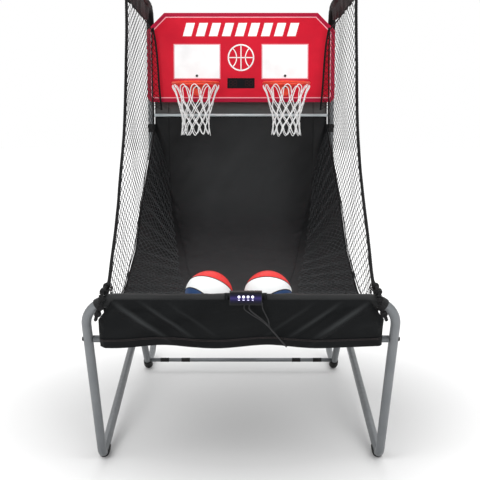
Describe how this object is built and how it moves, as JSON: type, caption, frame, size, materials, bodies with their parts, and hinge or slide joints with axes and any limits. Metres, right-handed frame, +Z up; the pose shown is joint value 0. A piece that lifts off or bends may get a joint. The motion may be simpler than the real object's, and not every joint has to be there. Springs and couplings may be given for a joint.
{
  "type": "basketball hoop machine",
  "caption": "Folding home arcade basketball game: steel tube frame, backboard with netted rims, fabric ball ramp, side nets, score display and push-button controller.",
  "frame": {"origin": "on the floor, in the middle of the machine's length and width", "axes": "+Z up, -Y towards the players, +X to the players' right"},
  "size_m": [1.1026, 2.1278, 1.945],
  "materials": {
    "frame_steel": "satin grey powder coat",
    "rod_steel": "light silver coat",
    "black_hardware": "black oxide",
    "black_plastic": "fine moulded texture",
    "rubber": "moulded rubber",
    "board_red": "printed board, satin",
    "rim_orange": "gloss coat",
    "net_white": "braided cord",
    "net_black": "knotted cord",
    "fabric_black": "coated nylon weave",
    "circuit_green": "solder mask",
    "lens_dark": "smoked lens",
    "panel_blue": "printed film",
    "button_lit": "lit translucent cap",
    "ball_skin": "pebbled rubber"
  },
  "bodies": {
    "rear_frame": {"rear_leg_tube_left": "frame_steel", "rear_leg_tube_right": "frame_steel", "ramp_support_bar": "frame_steel", "rear_stretcher": "frame_steel", "upper_cross_rod": "rod_steel", "top_cross_bar": "frame_steel", "upright_left": "frame_steel", "upright_right": "frame_steel", "net_arm_left": "frame_steel", "net_arm_right": "frame_steel", "upright_joint_sleeve_left": "black_plastic", "upright_joint_sleeve_right": "black_plastic", "arm_end_cap_left": "black_plastic", "arm_end_cap_right": "black_plastic", "rear_foot_left": "rubber", "rear_foot_right": "rubber", "pivot_bolt_left": "black_hardware", "pivot_bolt_right": "black_hardware", "pivot_washer_left": "black_plastic", "pivot_washer_right": "black_plastic", "backboard": "board_red", "backboard_rail_left": "frame_steel", "backboard_rail_right": "frame_steel", "rim_bolt_lower_left": "black_hardware", "rim_bolt_lower_right": "black_hardware", "rim_bolt_upper_left": "black_hardware", "rim_bolt_upper_right": "black_hardware", "rim_left": "rim_orange", "rim_right": "rim_orange", "rim_net_left": "net_white", "rim_net_right": "net_white", "ball_sensor_left": "black_plastic", "ball_sensor_right": "black_plastic", "score_housing": "black_plastic", "score_display": "black_plastic", "score_circuit_board": "circuit_green", "score_lens": "lens_dark", "ramp_fabric": "fabric_black", "side_net_left": "net_black", "side_net_right": "net_black", "arm_sleeve_left": "fabric_black", "arm_sleeve_right": "fabric_black"},
    "front_frame": {"front_leg_left": "frame_steel", "front_leg_right": "frame_steel", "front_bar": "frame_steel", "apron_bar": "frame_steel", "front_foot_left": "rubber", "front_foot_right": "rubber", "front_bar_sleeve": "fabric_black", "front_apron": "fabric_black", "controller_housing": "black_plastic", "controller_panel": "panel_blue", "controller_circuit_board": "circuit_green", "controller_cable": "black_plastic"},
    "button_power": {"button_power": "button_lit"},
    "button_back": {"button_back": "button_lit"},
    "button_forward": {"button_forward": "button_lit"},
    "button_start": {"button_start": "button_lit"},
    "ball_left": {"ball_left": "ball_skin"},
    "ball_right": {"ball_right": "ball_skin"}
  },
  "joints": [
    {"name": "front_frame_fold", "type": "hinge", "parent": "rear_frame", "child": "front_frame", "pos_m": [0, 0.4609, 0.238], "axis": [-1, 0, 0], "range_deg": [0, 62], "deforming": ["ramp_fabric", "side_net_left", "side_net_right"]},
    {"name": "button_power_press", "type": "slide", "parent": "front_frame", "child": "button_power", "axis": [0, 1, 0], "range_m": [0, 0.0015]},
    {"name": "button_back_press", "type": "slide", "parent": "front_frame", "child": "button_back", "axis": [0, 1, 0], "range_m": [0, 0.0015]},
    {"name": "button_forward_press", "type": "slide", "parent": "front_frame", "child": "button_forward", "axis": [0, 1, 0], "range_m": [0, 0.0015]},
    {"name": "button_start_press", "type": "slide", "parent": "front_frame", "child": "button_start", "axis": [0, 1, 0], "range_m": [0, 0.0015]},
    {"name": "ball_left_lift", "type": "slide", "parent": "front_frame", "child": "ball_left", "axis": [0, 0, 1], "range_m": [0, 0.25]},
    {"name": "ball_right_lift", "type": "slide", "parent": "front_frame", "child": "ball_right", "axis": [0, 0, 1], "range_m": [0, 0.25]}
  ]
}
